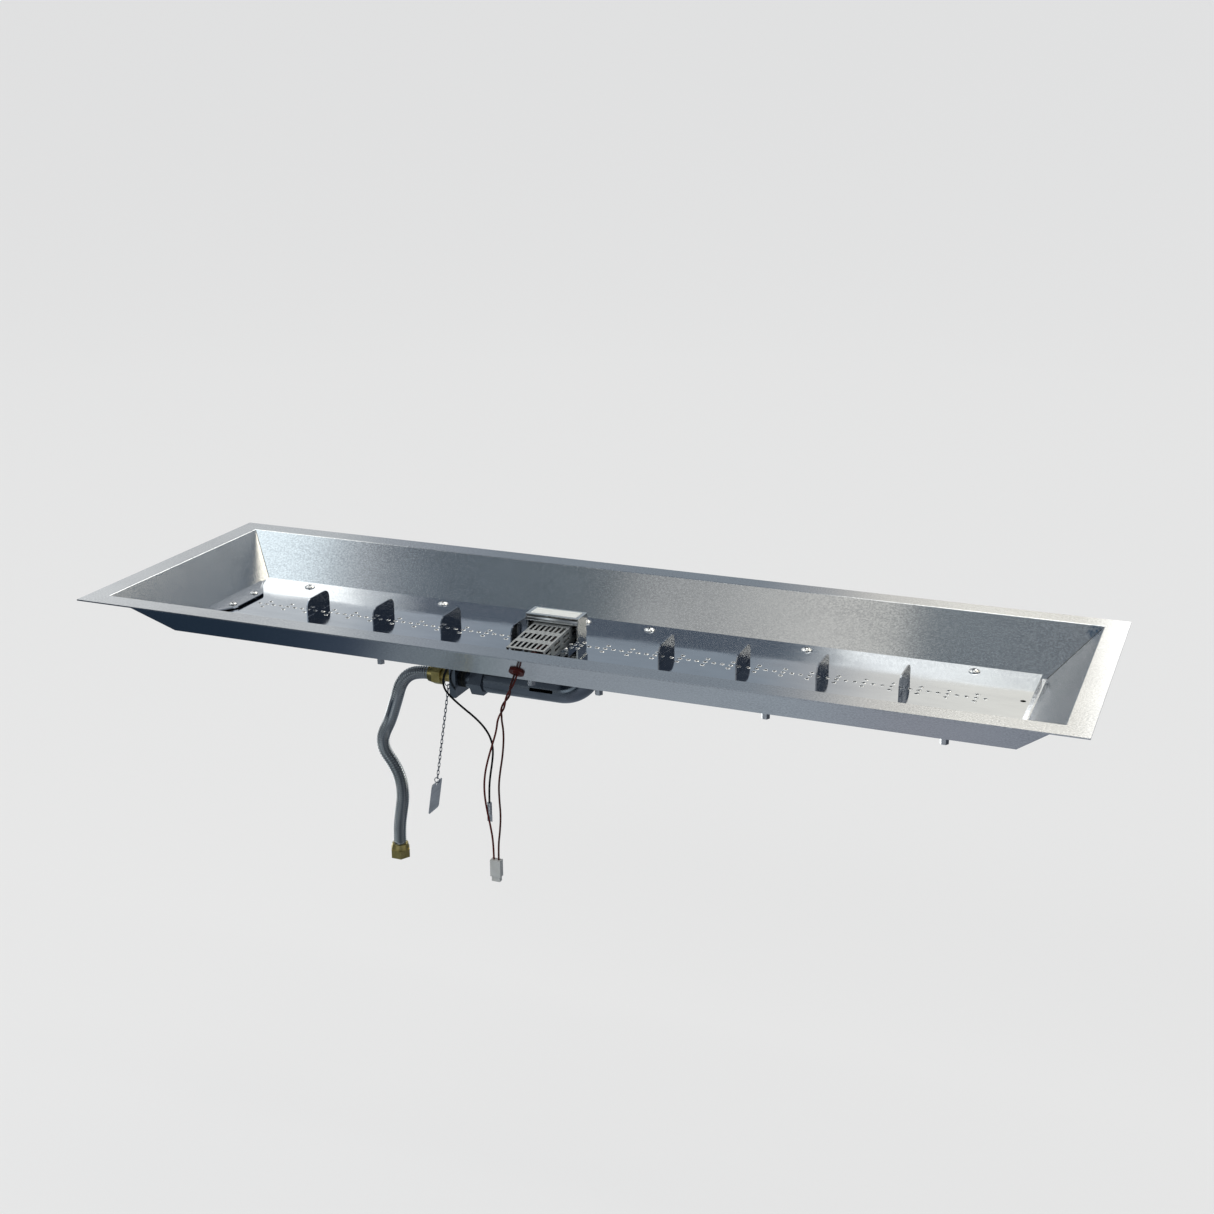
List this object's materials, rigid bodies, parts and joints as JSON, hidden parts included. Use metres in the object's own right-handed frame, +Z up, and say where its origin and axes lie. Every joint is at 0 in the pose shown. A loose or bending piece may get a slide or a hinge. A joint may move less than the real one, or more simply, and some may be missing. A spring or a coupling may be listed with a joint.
{
  "type": "burner assembly",
  "caption": "Drop-in linear gas fire burner: a shallow stainless trough with a drilled burner plate, flame fins, a caged hot-surface igniter and a hose-fed gas inlet below.",
  "frame": {"origin": "centre of the rim's underside, the plane that rests on the surround", "axes": "+X along the trough towards the end away from the hose, +Y to the back, away from the igniter leads' grommet, +Z up out of the trough"},
  "size_m": [1.13, 0.3556, 0.3499],
  "materials": {
    "satin_steel": "satin brushed stainless sheet",
    "mirror_steel": "bright annealed stainless sheet, close to a mirror",
    "galvanised_steel": "zinc plated, dull dark grey",
    "cage_steel": "blasted steel, dull light grey",
    "zinc_screw": "bright stainless and zinc plated fasteners",
    "hose_steel": "corrugated stainless, bright crests",
    "brass": "machined brass, slightly dull",
    "ceramic": "fired ceramic, unglazed",
    "igniter_black": "silicon carbide, matt",
    "blank_label": "plain foil label, nothing printed",
    "red_silicone": "dark red silicone",
    "brown_silicone": "dark red-brown silicone",
    "black_rubber": "black insulation",
    "connector_plastic": "off-white nylon",
    "tag_aluminium": "plain aluminium, blank",
    "chain_steel": "bright plated wire"
  },
  "bodies": {
    "pan_assembly": {"trough_pan": "satin_steel", "burner_plate": "mirror_steel", "flame_fin_1": "mirror_steel", "flame_fin_2": "mirror_steel", "flame_fin_3": "mirror_steel", "flame_fin_4": "mirror_steel", "flame_fin_5": "mirror_steel", "flame_fin_6": "mirror_steel", "flame_fin_7": "mirror_steel", "flame_fin_8": "mirror_steel", "plate_screws": "zinc_screw", "plate_nuts": "zinc_screw", "end_cover": "mirror_steel", "end_cover_screws": "zinc_screw", "igniter_cage": "cage_steel", "pilot_hood": "mirror_steel", "hood_cap": "mirror_steel", "cap_label": "blank_label", "igniter_holder": "ceramic", "igniter_ceramic": "ceramic", "igniter_element": "igniter_black", "flame_sensor": "zinc_screw", "igniter_strap": "mirror_steel", "strap_screws": "zinc_screw", "gas_bracket": "galvanised_steel", "bracket_screws": "zinc_screw", "inlet_fitting": "brass", "inlet_locknut": "brass", "hose_nut_top": "brass", "pipe_nipple": "galvanised_steel", "union_nut": "galvanised_steel", "supply_pipe": "galvanised_steel", "main_orifice": "brass", "pipe_locknuts": "galvanised_steel", "gas_diffuser": "satin_steel", "gas_hose": "hose_steel", "hose_ferrules": "galvanised_steel", "igniter_lead_red": "red_silicone", "igniter_lead_brown": "brown_silicone", "sensor_lead": "black_rubber", "wire_grommet": "red_silicone", "lead_bushing": "black_rubber", "igniter_plug": "connector_plastic", "sensor_terminal": "zinc_screw", "chain_ring": "chain_steel", "inner_igniter_leads": "red_silicone", "inner_sensor_lead": "black_rubber"},
    "tag_chain": {"tag_chain": "chain_steel"},
    "data_tag": {"tag_ring": "chain_steel", "data_tag": "tag_aluminium"},
    "hose_end_nut": {"hose_nut_end": "brass"}
  },
  "joints": [
    {"name": "chain_swing", "type": "hinge", "parent": "pan_assembly", "child": "tag_chain", "pos_m": [-0.1835, 0, -0.1135], "axis": [0, 1, 0], "range_deg": [-49, 6]},
    {"name": "tag_swing", "type": "hinge", "parent": "tag_chain", "child": "data_tag", "pos_m": [-0.20298, 0, -0.23652], "axis": [0, 1, 0], "range_deg": [-20, 20]},
    {"name": "flare_nut_spin", "type": "hinge", "parent": "pan_assembly", "child": "hose_end_nut", "pos_m": [-0.258, 0, -0.332], "axis": [0, 0, 1], "continuous": true}
  ]
}
